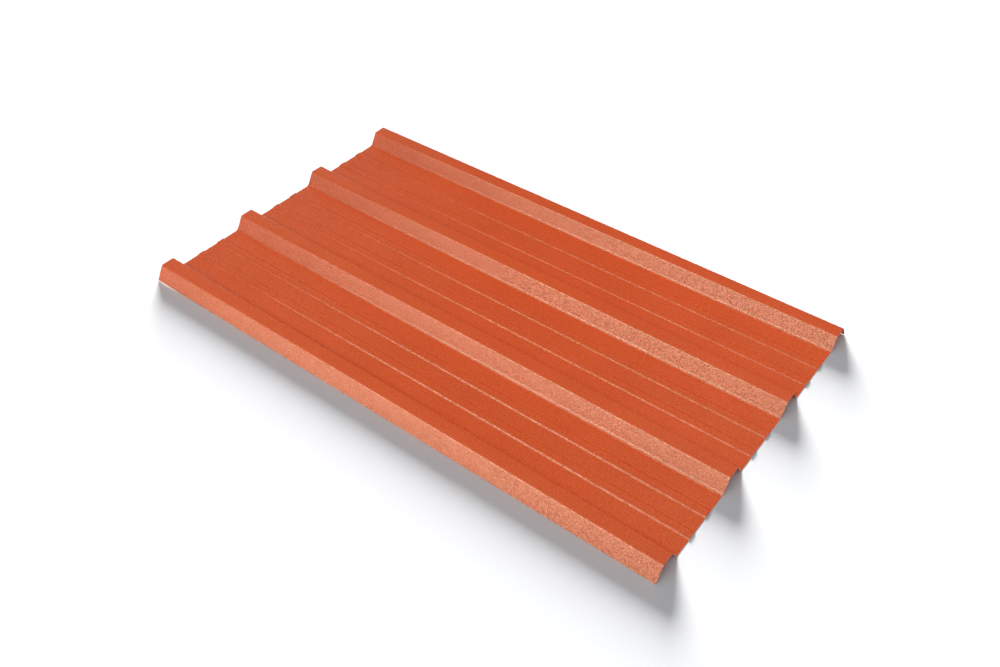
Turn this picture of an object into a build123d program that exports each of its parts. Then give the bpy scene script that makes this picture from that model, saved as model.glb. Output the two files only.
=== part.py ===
"""Trapezoidal roof sheet: one thin sheet of painted steel, roll-formed into four main ribs.

Length runs along X, width along Y and +Z is the weather side. The origin is the middle of the
sheet on the level that its flat pans lie on. All sizes are in millimetres.
"""
from build123d import *
import os

# The sheet as it is sold
SHEET_LENGTH = 1850.0
COVER_WIDTH = 1000.0
SHEET_THICKNESS = 0.63

# Main ribs, measured on the painted face between the sharp corners of the section
RIB_COUNT = 4
RIB_HEIGHT = 45.0
RIB_CROWN_WIDTH = 45.0
RIB_BASE_WIDTH = 100.0

# Low stiffening ribs in each flat pan
STIFFENERS_PER_PAN = 2
STIFFENER_SPACING = 82.5
STIFFENER_HEIGHT = 3.0
STIFFENER_CREST_WIDTH = 22.5
STIFFENER_FLANK_RUN = 5.0

# Radii that the forming rolls leave on the inner face of each bend
CROWN_BEND_RADIUS = 6.0
FOOT_BEND_RADIUS = 15.0
STIFFENER_BEND_RADIUS = 6.0

RIB_PITCH = COVER_WIDTH / (RIB_COUNT - 1)
STIFFENER_BASE_WIDTH = STIFFENER_CREST_WIDTH + 2 * STIFFENER_FLANK_RUN
PAN_LEVEL = SHEET_THICKNESS


def raised_rib(centre, height, crest_width, base_width, crest_bend, foot_bend):
    """One rib as four corners, each its place across the sheet, its level and its radius.

    The corners lie on the painted face: over a crest that face is the outside of the bend,
    and at a foot it is the inside.
    """
    crest_radius = crest_bend + SHEET_THICKNESS
    crest_level = PAN_LEVEL + height
    return [
        (centre - base_width / 2, PAN_LEVEL, foot_bend),
        (centre - crest_width / 2, crest_level, crest_radius),
        (centre + crest_width / 2, crest_level, crest_radius),
        (centre + base_width / 2, PAN_LEVEL, foot_bend),
    ]


def main_rib(index):
    """A main rib, counted from the -Y edge; the ribs are centred on the sheet's middle line."""
    centre = (index - (RIB_COUNT - 1) / 2) * RIB_PITCH
    return raised_rib(
        centre, RIB_HEIGHT, RIB_CROWN_WIDTH, RIB_BASE_WIDTH, CROWN_BEND_RADIUS, FOOT_BEND_RADIUS
    )


def pan_stiffeners(index):
    """The low ribs of the pan that follows main rib number index, centred in that pan."""
    pan_middle = (index + 1 - RIB_COUNT / 2) * RIB_PITCH
    corners = []
    for number in range(STIFFENERS_PER_PAN):
        centre = pan_middle + (number - (STIFFENERS_PER_PAN - 1) / 2) * STIFFENER_SPACING
        corners += raised_rib(
            centre,
            STIFFENER_HEIGHT,
            STIFFENER_CREST_WIDTH,
            STIFFENER_BASE_WIDTH,
            STIFFENER_BEND_RADIUS,
            STIFFENER_BEND_RADIUS,
        )
    return corners


def painted_face_corners():
    """All corners of the section from edge to edge; the outer flanks end at the pans' level."""
    corners = []
    for index in range(RIB_COUNT):
        corners += main_rib(index)
        if index < RIB_COUNT - 1:
            corners += pan_stiffeners(index)
    return corners


def sheet_section():
    """The closed outline of the folded steel, thickened downwards from its painted face."""
    corners = painted_face_corners()
    points = [(across, level) for across, level, radius in corners]
    radii = [radius for across, level, radius in corners[1:-1]]
    painted_face = Plane.YZ * FilletPolyline(*points, radius=radii)
    outline = offset(painted_face, amount=SHEET_THICKNESS, side=Side.RIGHT)
    return make_face(outline)


def roof_sheet():
    """The section run along the sheet's length, cut square at both ends."""
    return extrude(sheet_section(), amount=SHEET_LENGTH / 2, both=True)


os.makedirs("parts", exist_ok=True)
sheet = roof_sheet()
export_step(sheet, "parts/roof_sheet.step")
print("roof_sheet", sheet.bounding_box(), "volume", round(sheet.volume), "valid", sheet.is_valid)
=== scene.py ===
# %% [markdown]
# # A trapezoidal roof sheet, folded from one flat strip
# The real sheet is a single strip of painted steel that runs through a row of forming rolls.
# The rolls fold it along its length into four tall ribs and six low ones, and nothing is added to it.
# This lesson makes it in the same order: the flat strip, its fold lines, the raised ribs,
# the rounded bends, the thickness of the steel, and last the paint and the light.

# %% Load the frame
import math

import bpy
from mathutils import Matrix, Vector


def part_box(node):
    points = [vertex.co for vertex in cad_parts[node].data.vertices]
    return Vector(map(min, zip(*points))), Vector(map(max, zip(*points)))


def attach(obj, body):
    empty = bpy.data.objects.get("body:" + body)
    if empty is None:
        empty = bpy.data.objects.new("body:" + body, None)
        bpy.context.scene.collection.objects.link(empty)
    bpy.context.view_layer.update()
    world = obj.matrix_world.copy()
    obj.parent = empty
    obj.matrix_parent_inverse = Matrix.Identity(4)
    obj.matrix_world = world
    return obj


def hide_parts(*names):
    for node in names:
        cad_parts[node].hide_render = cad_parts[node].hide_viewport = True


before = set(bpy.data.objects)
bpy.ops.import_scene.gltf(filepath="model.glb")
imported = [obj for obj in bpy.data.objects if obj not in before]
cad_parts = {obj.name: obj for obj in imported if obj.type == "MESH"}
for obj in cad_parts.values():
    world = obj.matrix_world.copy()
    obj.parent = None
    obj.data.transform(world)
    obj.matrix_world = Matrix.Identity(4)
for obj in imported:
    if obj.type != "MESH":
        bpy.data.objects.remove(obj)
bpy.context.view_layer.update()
low_corner, high_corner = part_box("roof_sheet")
SHEET_LENGTH = high_corner.x - low_corner.x
SHEET_WIDTH = high_corner.y - low_corner.y
SHEET_TOP = high_corner.z
print(f"sheet {SHEET_LENGTH:.3f} m long, {SHEET_WIDTH:.3f} m wide, {SHEET_TOP:.5f} m high")

# %% [markdown]
# ## The camera
# A picture of a long flat thing lives from its perspective: the ribs run together towards the far end.
# A camera can be pointed by an empty and a Track To constraint, or set by its own angles.
# Its own angles are used here, because the photograph's turn and tilt were worked out from where
# the ribs' lines meet, and two angles say that more plainly than a target does.

# %% Point the camera
CAMERA_PLACE = Vector((1.4389, -1.8249, 2.0534))
CAMERA_TURN = math.radians(37.564)
CAMERA_TILT_DOWN = math.radians(43.016)
SENSOR_WIDTH = 36.0
FOCAL_LENGTH = 35.81208

camera_data = bpy.data.cameras.new("camera")
camera_data.sensor_width = SENSOR_WIDTH
camera_data.lens = FOCAL_LENGTH
camera = bpy.data.objects.new("camera", camera_data)
camera.location = CAMERA_PLACE
camera.rotation_euler = (math.pi / 2 - CAMERA_TILT_DOWN, 0, CAMERA_TURN)
bpy.context.scene.collection.objects.link(camera)
bpy.context.scene.camera = camera
print(f"camera {CAMERA_PLACE.length:.2f} m from the sheet's middle, lens {FOCAL_LENGTH:.1f} mm")

# %% [markdown]
# ## The floor
# The sheet lies on a white studio floor. A curved backdrop would do as well, but the camera looks down
# so steeply that it sees nothing else, so one large plane is enough. It lies a hair below the steel,
# so that no two faces share a place.

# %% Lay the floor
FLOOR_SIZE = 40.0
FLOOR_GAP = 0.0004
FLOOR_WHITE = (0.86, 0.865, 0.88)
FLOOR_ROUGHNESS = 0.9


def principled(material):
    """The main shader of a material that uses nodes."""
    return next(node for node in material.node_tree.nodes if node.type == "BSDF_PRINCIPLED")


def plain_material(name, colour, roughness):
    """A material with a plain colour and roughness, for a start."""
    material = bpy.data.materials.new(name)
    material.use_nodes = True
    shader = principled(material)
    shader.inputs["Base Color"].default_value = (*colour, 1)
    shader.inputs["Roughness"].default_value = roughness
    return material


bpy.ops.mesh.primitive_plane_add(size=FLOOR_SIZE, location=(0, 0, -FLOOR_GAP))
floor = bpy.context.object
floor.name = "studio_floor"
floor.data.materials.append(plain_material("white_floor", FLOOR_WHITE, FLOOR_ROUGHNESS))
print(f"floor {FLOOR_SIZE:.0f} m wide, {FLOOR_GAP * 1000:.1f} mm below the steel")

# %% [markdown]
# ## The light
# Folds show by sheen: the pale sides of the ribs and the bright lines along the bends are blurred
# reflections. A studio gives each of them a white board of its own, set where that slope of the steel
# mirrors it, and shades it off everything else. One large softbox would be simpler, but it lights flats
# and slopes alike. So a lamp here shows either in the sheet's gloss or in its plain colour, and
# light linking keeps all of them off the floor. The boards are a slightly yellow white, because the
# sheen in the photograph is.

# %% Make softboxes for the sheet
SKY_COLOUR = (0.96, 0.97, 1.0)
SKY_STRENGTH = 0.25
PLAIN_WHITE = (1.0, 0.97, 0.9)
BOARD_WHITE = (1.0, 1.0, 0.7)

on_the_sheet = bpy.data.collections.new("lit_as_product")
on_the_floor = bpy.data.collections.new("lit_as_floor")
on_the_floor.objects.link(floor)


def softbox(name, place, target, size, power, gloss):
    """An area lamp that faces target and shows in the sheet's gloss, or else in its plain colour."""
    lamp_data = bpy.data.lights.new(name, "AREA")
    lamp_data.shape = "RECTANGLE"
    lamp_data.size, lamp_data.size_y = size
    lamp_data.energy = power
    lamp_data.color = BOARD_WHITE if gloss else PLAIN_WHITE
    lamp = bpy.data.objects.new(name, lamp_data)
    lamp.location = place
    lamp.rotation_euler = (Vector(target) - Vector(place)).to_track_quat("-Z", "Y").to_euler()
    lamp.visible_glossy = gloss
    lamp.visible_diffuse = not gloss
    lamp.light_linking.receiver_collection = on_the_sheet
    bpy.context.scene.collection.objects.link(lamp)
    print(f"{name}: {power} W, {size[0]} by {size[1]} m")


world = bpy.data.worlds.new("studio_sky")
world.use_nodes = True
world.node_tree.nodes["Background"].inputs["Color"].default_value = (*SKY_COLOUR, 1)
world.node_tree.nodes["Background"].inputs["Strength"].default_value = SKY_STRENGTH
bpy.context.scene.world = world
bpy.context.scene.view_settings.view_transform = "Standard"

# %% [markdown]
# ## Key, fill and boards
# The key hangs behind the sheet, so that the flats are bright and the near sides of the ribs aren't.
# The fill stands left of the camera at its own height, and leaves the thin dark line behind each rib.
# The front card brightens the outer side that faces the camera.
# The boards follow from mirror angles: the wall stands where the steep sides of the ribs look, the cove
# where their bends look, the roof where the low ribs' slopes look, and a card at each end where the flats
# look. Their sizes and powers were set by measuring the picture against the photograph, one slope at a time.

# %% Hang the key, the fill and the boards
# Each has a place, the point that it faces, its size in metres and its power in watts
softbox("key", (0.8, 2.2, 4.4), (0, 0, 0), (1.6, 1.0), 150, gloss=False)
softbox("fill", (-1.0, -2.3, 2.1), (0, 0, 0), (0.5, 0.5), 26, gloss=False)
softbox("front_card", (-0.9, -2.6, 0.25), (-0.1, -0.5, 0), (3.2, 0.4), 12, gloss=False)
softbox("wall_board", (-0.7, -4.4, 1.15), (-0.5, 0, 1.15), (6.8, 2.3), 465, gloss=True)
softbox("cove_board", (-1.6, -4.3, 4.9), (0, 0, 0), (5.4, 2.2), 900, gloss=True)
softbox("roof_board", (-0.45, -0.6, 3.0), (-0.45, -0.45, 0), (2.9, 1.3), 76, gloss=True)
softbox("left_card", (-4.4, 2.4, 2.7), (-0.9, 0, 0), (2.8, 2.8), 20, gloss=True)
softbox("right_card", (0.2, 2.3, 3.1), (0.9, 0, 0), (1.4, 1.6), 11, gloss=True)

# %% [markdown]
# ## The floor's own light
# A long soft shadow towards the viewer needs a low slanting light, which would spoil the sheet. Two suns
# that light only the floor give the shadow its length and its softness: the sheet still throws it.

# %% Light the floor


def floor_sun(name, direction, power, breadth):
    """A far lamp that shines in this direction and lights only the floor; breadth is in degrees."""
    lamp_data = bpy.data.lights.new(name, "SUN")
    lamp_data.energy = power
    lamp_data.angle = math.radians(breadth)
    lamp = bpy.data.objects.new(name, lamp_data)
    lamp.rotation_euler = Vector(direction).to_track_quat("-Z", "Y").to_euler()
    lamp.light_linking.receiver_collection = on_the_floor
    bpy.context.scene.collection.objects.link(lamp)
    print(f"{name}: {breadth} degrees broad")


floor_sun("floor_key", (7.0, -8.0, -2.25), 12.3, 24)
floor_sun("floor_fill", (0, 0.5, -0.85), 0.6, 60)

# %% [markdown]
# ## Where the folds are
# All folds run along the sheet, so the whole shape is one section. It could be drawn as a curve and
# extruded, but a fold list is closer to how the sheet is ordered from the mill: four tall ribs at a fixed
# pitch, two low ribs in each flat pan, each with a foot line and a crest line on both sides.

# %% List the ribs
RIB_COUNT = 4
COVER_WIDTH = 1.0
STEEL = 0.00063
RIB_CROWN_WIDTH = 0.045
RIB_BASE_WIDTH = SHEET_WIDTH - COVER_WIDTH
RIB_HEIGHT = SHEET_TOP - STEEL

STIFFENER_SPACING = 0.0825
STIFFENER_CREST_WIDTH = 0.0225
STIFFENER_FLANK_RUN = 0.005
STIFFENER_BASE_WIDTH = STIFFENER_CREST_WIDTH + 2 * STIFFENER_FLANK_RUN
STIFFENER_HEIGHT = 0.003

PITCH = COVER_WIDTH / (RIB_COUNT - 1)
rib_centres = [(number - (RIB_COUNT - 1) / 2) * PITCH for number in range(RIB_COUNT)]
pan_centres = [(left + right) / 2 for left, right in zip(rib_centres, rib_centres[1:])]
stiffener_centres = [pan + side * STIFFENER_SPACING / 2 for pan in pan_centres for side in (-1, 1)]


def lines_of(centres, width):
    """The places across the sheet of a pair of fold lines about each centre."""
    return [centre + side * width / 2 for centre in centres for side in (-1, 1)]


crown_lines = lines_of(rib_centres, RIB_CROWN_WIDTH)
foot_lines = lines_of(rib_centres, RIB_BASE_WIDTH)[1:-1]
crest_lines = lines_of(stiffener_centres, STIFFENER_CREST_WIDTH)
base_lines = lines_of(stiffener_centres, STIFFENER_BASE_WIDTH)
fold_lines = crown_lines + foot_lines + crest_lines + base_lines
print(f"{len(rib_centres)} tall ribs, {len(stiffener_centres)} low ribs, {len(fold_lines)} folds")

# %% [markdown]
# ## The flat strip and its fold lines
# The start is a plane of the sheet's own size. Loop cuts would need a window, so each fold line is
# cut with the bisect operator instead, which splits whatever face the line crosses.

# %% Cut the fold lines
NEAR = 1e-5


def select_only(piece):
    """Make piece the only selected and active object."""
    bpy.ops.object.select_all(action="DESELECT")
    piece.select_set(True)
    bpy.context.view_layer.objects.active = piece


bpy.ops.mesh.primitive_plane_add(size=1, location=(0, 0, STEEL))
sheet = bpy.context.object
sheet.name = "folded_sheet"
on_the_sheet.objects.link(sheet)
select_only(sheet)
bpy.ops.transform.resize(value=(SHEET_LENGTH, SHEET_WIDTH, 1))
bpy.ops.object.transform_apply(location=True, rotation=True, scale=True)

bpy.ops.object.mode_set(mode="EDIT")
for line in fold_lines:
    bpy.ops.mesh.select_all(action="SELECT")
    bpy.ops.mesh.bisect(plane_co=(0, line, 0), plane_no=(0, 1, 0))
bpy.ops.object.mode_set(mode="OBJECT")
print(f"{len(sheet.data.polygons)} strips between {len(fold_lines)} folds")

# %% [markdown]
# ## Raise the ribs
# Between its two crest lines a rib is flat, so lifting the points of those lines makes the whole
# trapezoid: the strips beside them tilt and become its sides. The forming rolls do the same, a little
# at each stand. An extrude would add upright walls that the sheet doesn't have, so points are only moved.

# %% Lift the crests


def select_points(piece, wanted):
    """Select, in object mode, the vertices for which wanted(place) is true."""
    for polygon in piece.data.polygons:
        polygon.select = False
    for edge in piece.data.edges:
        edge.select = False
    for vertex in piece.data.vertices:
        vertex.select = wanted(vertex.co)
    return sum(vertex.select for vertex in piece.data.vertices)


def lies_on(lines):
    """A test for a place that lies on one of these lines."""
    return lambda place: any(abs(place.y - line) < NEAR for line in lines)


def lift(piece, lines, height):
    """Move the points on these lines up."""
    count = select_points(piece, lies_on(lines))
    bpy.ops.object.mode_set(mode="EDIT")
    bpy.ops.transform.translate(value=(0, 0, height))
    bpy.ops.object.mode_set(mode="OBJECT")
    print(f"{count} points lifted by {height * 1000:.1f} mm")


select_only(sheet)
bpy.context.tool_settings.mesh_select_mode = (True, False, False)
lift(sheet, crown_lines, RIB_HEIGHT)
lift(sheet, crest_lines, STIFFENER_HEIGHT)

# %% [markdown]
# ## Round the bends
# Steel can't fold to a sharp corner: the rolls leave a radius, and that radius is what catches the
# light as a thin bright line. A Bevel modifier would round all corners alike, but a crown bend, a foot
# bend and a low rib's bend have radii of their own, so each set of fold lines gets its own bevel.
# A bevel is set back from the corner by the tangent length, the radius times the tangent of half the turn.

# %% Bevel each set of folds
CROWN_BEND_RADIUS = 0.006 + STEEL
FOOT_BEND_RADIUS = 0.015
CREST_BEND_RADIUS = 0.006 + STEEL
BASE_BEND_RADIUS = 0.006
BEND_SEGMENTS = 8

rib_turn = math.atan2(RIB_HEIGHT, (RIB_BASE_WIDTH - RIB_CROWN_WIDTH) / 2)
stiffener_turn = math.atan2(STIFFENER_HEIGHT, (STIFFENER_BASE_WIDTH - STIFFENER_CREST_WIDTH) / 2)


def round_folds(piece, lines, turn, radius):
    """Bevel the edges that run along these lines to a bend of this radius."""
    select_points(piece, lies_on(lines))
    points = piece.data.vertices
    for edge in piece.data.edges:
        start, end = (points[index] for index in edge.vertices)
        along = abs(start.co.x - end.co.x) > SHEET_LENGTH / 2
        edge.select = start.select and end.select and along
    for vertex in points:
        vertex.select = False
    bpy.ops.object.mode_set(mode="EDIT")
    bpy.ops.mesh.bevel(
        offset_type="OFFSET",
        offset=radius * math.tan(turn / 2),
        segments=BEND_SEGMENTS,
        profile=0.5,
        affect="EDGES",
    )
    bpy.ops.object.mode_set(mode="OBJECT")
    print(f"{len(lines)} bends of {radius * 1000:.2f} mm, turned by {math.degrees(turn):.1f} degrees")


bpy.context.tool_settings.mesh_select_mode = (False, True, False)
round_folds(sheet, crown_lines, rib_turn, CROWN_BEND_RADIUS)
round_folds(sheet, foot_lines, rib_turn, FOOT_BEND_RADIUS)
round_folds(sheet, crest_lines, stiffener_turn, CREST_BEND_RADIUS)
round_folds(sheet, base_lines, stiffener_turn, BASE_BEND_RADIUS)

# %% [markdown]
# ## Give the steel its thickness
# The mesh so far is the painted face. An extrude straight down would leave the steep sides thinner than
# the flats. Solidify sets its copy back at right angles everywhere, as real steel is, and closes the rim.
# The rim is the sheared edge of the strip, where the bare steel shows between its two coats, so it takes
# a material of its own.
# Both materials start plain, and the cells below finish them.

# %% Thicken and shade
PAINT_SLOT = 0
RIM_SLOT = 1
SMOOTH_ANGLE = math.radians(30)
PAINT_START = (0.63, 0.087, 0.020)
STEEL_START = (0.62, 0.61, 0.59)
ROUGHNESS_START = 0.34

select_only(sheet)
thickness = sheet.modifiers.new("steel", "SOLIDIFY")
thickness.thickness = STEEL
thickness.offset = -1
thickness.use_even_offset = True
thickness.material_offset_rim = RIM_SLOT
sheet.data.materials.append(plain_material("terracotta_paint", PAINT_START, ROUGHNESS_START))
sheet.data.materials.append(plain_material("sheared_steel", STEEL_START, ROUGHNESS_START))
bpy.ops.object.modifier_apply(modifier=thickness.name)
bpy.ops.object.shade_smooth_by_angle(angle=SMOOTH_ANGLE)
print(f"{len(sheet.data.polygons)} faces, top at {max(v.co.z for v in sheet.data.vertices):.5f} m")

# %% [markdown]
# ## Nodes by name
# A finish is a small net of nodes. In the window they are dragged and joined by hand. In a script
# a few short helpers do the same: one adds a node and sets its inputs, one joins two sockets, and one
# adds a grain, which is noise read from the piece's own coordinates, so that it stays on the steel
# like real paint.

# %% Helpers for nodes and grain


def new_node(material, kind, **inputs):
    """Add a node of this kind and set its inputs; an underscore stands for a space."""
    node = material.node_tree.nodes.new(kind)
    for name, value in inputs.items():
        node.inputs[name.replace("_", " ")].default_value = value
    return node


def join(material, start, end):
    """Link an output to an input."""
    material.node_tree.links.new(start, end)


def grain(material, size, octaves, stretch=(1, 1, 1)):
    """Noise with specks of this size in metres, longer along an axis where stretch is over one."""
    place = new_node(material, "ShaderNodeTexCoord")
    mapping = new_node(material, "ShaderNodeMapping", Scale=[1 / length for length in stretch])
    noise = new_node(material, "ShaderNodeTexNoise", Scale=1 / size, Detail=octaves - 1)
    join(material, place.outputs["Object"], mapping.inputs["Vector"])
    join(material, mapping.outputs["Vector"], noise.inputs["Vector"])
    return noise.outputs["Fac"]


print("helpers for nodes and grain ready")

# %% [markdown]
# ## From grain to finish
# Noise hovers about one half and seldom leaves the middle of its range, so it is spread before it is used.
# Spread over a narrower part of its values, the same grain gets harder edges. From there it
# becomes a colour between two others, or a relief that bends the surface's normal.

# %% Helpers for colour and relief
NOISE_RANGE = (0.3, 0.7)

# A Mix node has several sockets of each name, so its colour sockets go by number
COLOUR_A = 6
COLOUR_B = 7
COLOUR_RESULT = 2


def spread(material, value, low, high, part=NOISE_RANGE):
    """Stretch this part of a grain's values to the range from low to high."""
    node = new_node(material, "ShaderNodeMapRange", From_Min=part[0], From_Max=part[1])
    node.inputs["To Min"].default_value = low
    node.inputs["To Max"].default_value = high
    join(material, value, node.inputs["Value"])
    return node.outputs["Result"]


def total(material, first, second):
    """The sum of two outputs."""
    node = new_node(material, "ShaderNodeMath")
    node.operation = "ADD"
    join(material, first, node.inputs[0])
    join(material, second, node.inputs[1])
    return node.outputs["Value"]


def blend(material, factor, first, second):
    """A colour between two others."""
    node = new_node(material, "ShaderNodeMix")
    node.data_type = "RGBA"
    node.inputs[COLOUR_A].default_value = (*first, 1)
    node.inputs[COLOUR_B].default_value = (*second, 1)
    join(material, factor, node.inputs["Factor"])
    return node.outputs[COLOUR_RESULT]


def relief(material, height, depth, below=None):
    """A bump whose full height is depth in metres, on top of another one where there is one."""
    bump = new_node(material, "ShaderNodeBump", Strength=1.0, Distance=depth)
    join(material, height, bump.inputs["Height"])
    if below is not None:
        join(material, below, bump.inputs["Normal"])
    return bump.outputs["Normal"]


print("helpers for colour and relief ready")

# %% [markdown]
# ## The paint's colour
# The coat is a matt terracotta polyester, rolled on to the flat strip and baked before it is folded.
# It dries with a fine leathery grain. On the flat pans that grain hardly shows, but on the ribs'
# sides, where the sheen lies, it breaks the light into specks. A picture of the grain would blur or
# repeat over two square metres, so it is noise, and the specks that tint the colour here also
# steer the gloss and the relief below. The pigment is never quite even either, so wide weak clouds
# are added.

# %% Mix the terracotta colour
PAINT_DEEP = (0.565, 0.0725, 0.0135)
PAINT_PALE = (0.695, 0.1015, 0.0265)
SPECK_SIZE = 0.0046
CLOUD_SIZE = 0.22
CLOUD_SHARE = 0.12  # of the way between the two colours

paint = sheet.data.materials[PAINT_SLOT]
coat = principled(paint)
specks = grain(paint, SPECK_SIZE, octaves=3)
clouds = grain(paint, CLOUD_SIZE, octaves=2)
pigment = total(paint, spread(paint, clouds, -CLOUD_SHARE, CLOUD_SHARE), spread(paint, specks, 0, 1))
join(paint, blend(paint, pigment, PAINT_DEEP, PAINT_PALE), coat.inputs["Base Color"])
print(f"specks of {SPECK_SIZE * 1000:.1f} mm, clouds of {CLOUD_SIZE * 1000:.0f} mm")

# %% [markdown]
# ## The paint's gloss and grain
# Polyester over a matting agent has a weak even gloss with glossier spots where the resin stands proud.
# The even part is the shader's own specular. The spots are its clear coat, whose weight the specks
# steer, so the gloss comes and goes from speck to speck. Spread over only the middle of the noise,
# the spots get clear edges. The coating roller also leaves faint streaks along the strip in the
# roughness. The relief has two layers, the leathery grain and a finer tooth on it that only shows close up.

# %% Give the paint its gloss and grain
PAINT_ROUGHNESS = 0.34
ROUGHNESS_CHANGE = 0.05
STREAK_CHANGE = 0.03
STREAK_WIDTH = 0.012
STREAK_STRETCH = (60, 1, 1)
EVEN_GLOSS = 0.05
SPOT_GLOSS = (0.30, 0.70)
SPOT_EDGE = (0.44, 0.56)
LEATHER_DEPTH = 0.00045
TOOTH_SIZE = 0.0011
TOOTH_DEPTH = 0.0001

coat.inputs["Specular IOR Level"].default_value = EVEN_GLOSS
coat.inputs["Coat Roughness"].default_value = PAINT_ROUGHNESS
join(paint, spread(paint, specks, *SPOT_GLOSS, part=SPOT_EDGE), coat.inputs["Coat Weight"])

streaks = grain(paint, STREAK_WIDTH, octaves=3, stretch=STREAK_STRETCH)
speck_roughness = spread(
    paint, specks, PAINT_ROUGHNESS - ROUGHNESS_CHANGE, PAINT_ROUGHNESS + ROUGHNESS_CHANGE
)
streak_roughness = spread(paint, streaks, -STREAK_CHANGE, STREAK_CHANGE)
join(paint, total(paint, speck_roughness, streak_roughness), coat.inputs["Roughness"])

tooth = grain(paint, TOOTH_SIZE, octaves=2)
surface = relief(paint, tooth, TOOTH_DEPTH, below=relief(paint, specks, LEATHER_DEPTH))
join(paint, surface, coat.inputs["Normal"])
join(paint, surface, coat.inputs["Coat Normal"])
print(f"paint has {len(paint.node_tree.nodes)} nodes")

# %% [markdown]
# ## The sheared edge
# A shear cuts the folded sheet to length, and the slitter cut the strip to width before. The blade
# first presses and then tears the steel, so the bare edge is bright with fine streaks through its
# thickness, duller where it tore. A plain metal would pass from afar, but a close view looks for this
# edge. One grain, stretched through the thickness, gives the streaks, the dull spots and a faint relief.

# %% Finish the sheared edge
BRIGHT_STEEL = (0.80, 0.79, 0.76)
TORN_STEEL = (0.50, 0.49, 0.47)
SHEAR_MARK_SIZE = 0.0004
SHEAR_MARK_STRETCH = (1, 1, 5)
SHEAR_MARK_DEPTH = 0.00003
EDGE_ROUGHNESS = (0.28, 0.50)

sheared = sheet.data.materials[RIM_SLOT]
bare_metal = principled(sheared)
bare_metal.inputs["Metallic"].default_value = 1.0
shear_marks = grain(sheared, SHEAR_MARK_SIZE, octaves=3, stretch=SHEAR_MARK_STRETCH)
torn = spread(sheared, shear_marks, 0, 1)
join(sheared, blend(sheared, torn, BRIGHT_STEEL, TORN_STEEL), bare_metal.inputs["Base Color"])
join(sheared, spread(sheared, shear_marks, *EDGE_ROUGHNESS), bare_metal.inputs["Roughness"])
join(sheared, relief(sheared, shear_marks, SHEAR_MARK_DEPTH), bare_metal.inputs["Normal"])
print(f"sheared edge has {len(sheared.node_tree.nodes)} nodes")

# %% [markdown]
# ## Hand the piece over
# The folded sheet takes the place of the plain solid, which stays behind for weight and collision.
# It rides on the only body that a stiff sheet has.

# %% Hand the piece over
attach(sheet, "root")
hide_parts("roof_sheet")
